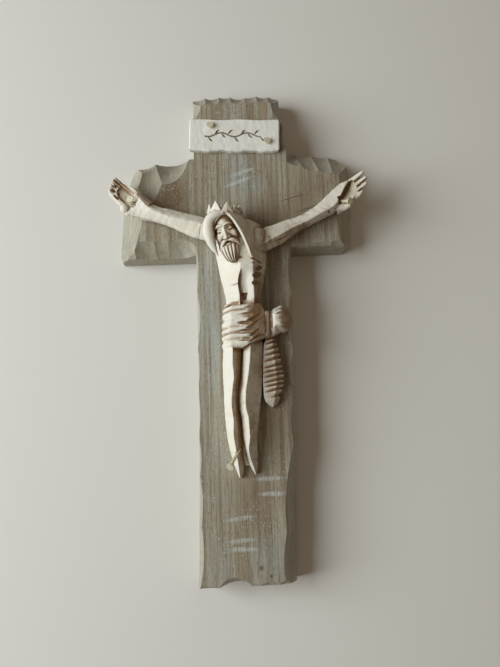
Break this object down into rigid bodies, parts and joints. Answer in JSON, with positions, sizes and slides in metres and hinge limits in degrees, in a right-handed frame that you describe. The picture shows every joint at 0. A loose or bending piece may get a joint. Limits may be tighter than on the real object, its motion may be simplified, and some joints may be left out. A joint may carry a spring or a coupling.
{
  "type": "carved wall crucifix",
  "caption": "Small wall cross of edge-glued oak boards with gouge-cut edges, carrying a carved limewood figure, a plain title slip and brass nails.",
  "frame": {"origin": "on the flat back face of the post, where the centre line of the post crosses the centre line of the cross arms", "axes": "+Z out of the carved front, +Y up the post, +X to the viewer's right; the cross lies on its back as in the picture"},
  "size_m": [0.1303, 0.255, 0.0433],
  "materials": {
    "oak": "waxed, grey-brown, open grain",
    "title_limewood": "bare, pale and knife cut",
    "limewood": "waxed, with brown stain left in the cuts",
    "beech": "bare dowel rod",
    "brass": "plated wire nail, a little dull"
  },
  "bodies": {
    "root": {"post": "oak", "cross_arm_left": "oak", "cross_arm_right": "oak", "title_board": "title_limewood", "corpus_body": "limewood", "corpus_arm_left": "limewood", "corpus_arm_right": "limewood", "loincloth_end": "limewood", "shoulder_dowel_left": "beech", "shoulder_dowel_right": "beech", "title_nail_left": "brass", "title_nail_right": "brass", "hand_nail_left": "brass", "hand_nail_right": "brass", "foot_nail": "brass"}
  },
  "joints": []
}
